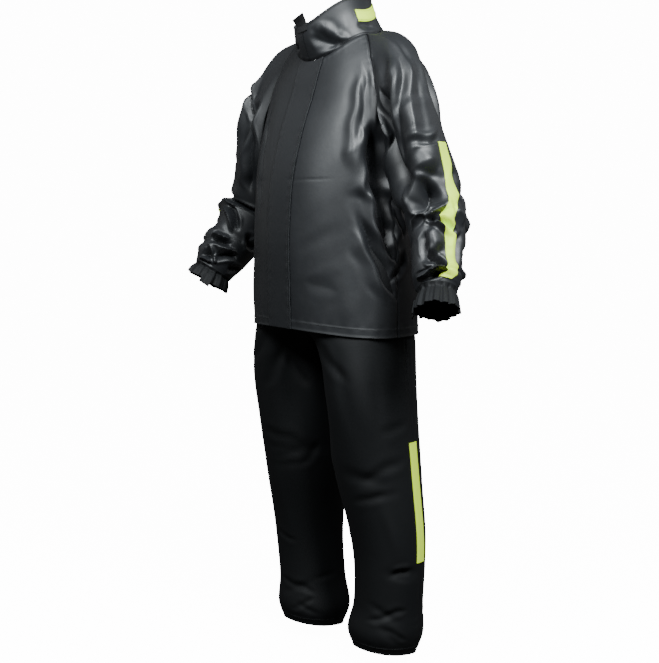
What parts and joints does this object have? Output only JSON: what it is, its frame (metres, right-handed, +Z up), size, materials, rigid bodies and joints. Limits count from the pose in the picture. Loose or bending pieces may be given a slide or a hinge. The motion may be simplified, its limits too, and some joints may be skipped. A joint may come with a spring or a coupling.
{
  "type": "rain suit",
  "caption": "Two-piece waterproof rain suit, worn and hollow: stand-collar jacket with raglan sleeves, gathered cuffs, a storm flap and bright strips, over straight trousers.",
  "frame": {"origin": "middle of the base of the neck, where the wearer's shoulders hold the jacket up, 1.44 m above the floor that the wearer stands on", "axes": "+Z up, -Y the way the garment faces, +X the wearer's left side"},
  "size_m": [0.9025, 0.3471, 1.5843],
  "materials": {
    "coated_cloth": "satin coated cloth",
    "signal_tape": "matte bright yellow-green tape",
    "hook_tape": "rough hook tape"
  },
  "bodies": {
    "root": {"jacket_front_left": "coated_cloth", "jacket_front_right": "coated_cloth", "jacket_back": "coated_cloth", "storm_flap": "coated_cloth", "collar": "coated_cloth", "collar_strip": "signal_tape", "collar_tab": "hook_tape", "sleeve_left": "coated_cloth", "sleeve_strip_left": "signal_tape", "cuff_left": "coated_cloth", "cuff_tab_left": "coated_cloth", "sleeve_right": "coated_cloth", "sleeve_strip_right": "signal_tape", "cuff_right": "coated_cloth", "cuff_tab_right": "coated_cloth", "trouser_front_left": "coated_cloth", "trouser_back_left": "coated_cloth", "leg_strip_left": "signal_tape", "trouser_front_right": "coated_cloth", "trouser_back_right": "coated_cloth", "leg_strip_right": "signal_tape", "waistband": "coated_cloth"}
  },
  "joints": []
}
